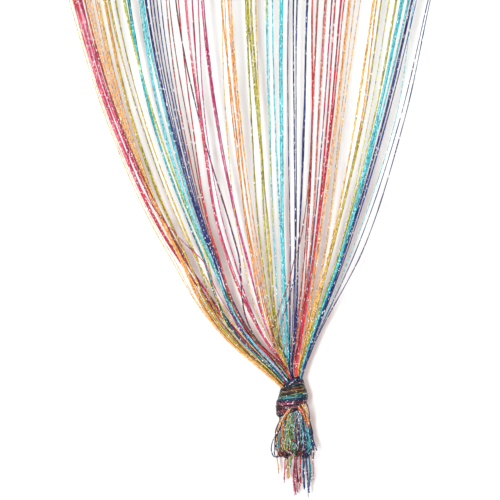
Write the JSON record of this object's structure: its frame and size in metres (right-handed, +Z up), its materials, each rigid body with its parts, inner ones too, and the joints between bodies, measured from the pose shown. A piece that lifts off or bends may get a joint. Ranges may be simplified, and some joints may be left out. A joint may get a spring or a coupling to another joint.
{
  "type": "striped string door curtain",
  "caption": "Door curtain of glittering strings in rainbow stripes, gathered from a flat heading into a wound knot with a folded tassel and loose cut ends.",
  "frame": {"origin": "the middle of the heading's top edge, where the curtain is held up", "axes": "+X along the heading to the viewer's right, +Y to the back, +Z up; the strings hang down -Z"},
  "size_m": [0.9, 0.042, 1.7073],
  "materials": {
    "heading_band": "woven, matte",
    "striped_strings": "flat braided strings with glittering metallic thread, in stripes",
    "knotted_strings": "the same strings, wound tight",
    "tassel_strings": "the same strings, folded and cut"
  },
  "bodies": {
    "root": {"heading": "heading_band", "strings": "striped_strings", "knot": "knotted_strings", "tassel_fold": "tassel_strings", "tassel_ends": "tassel_strings"}
  },
  "joints": []
}
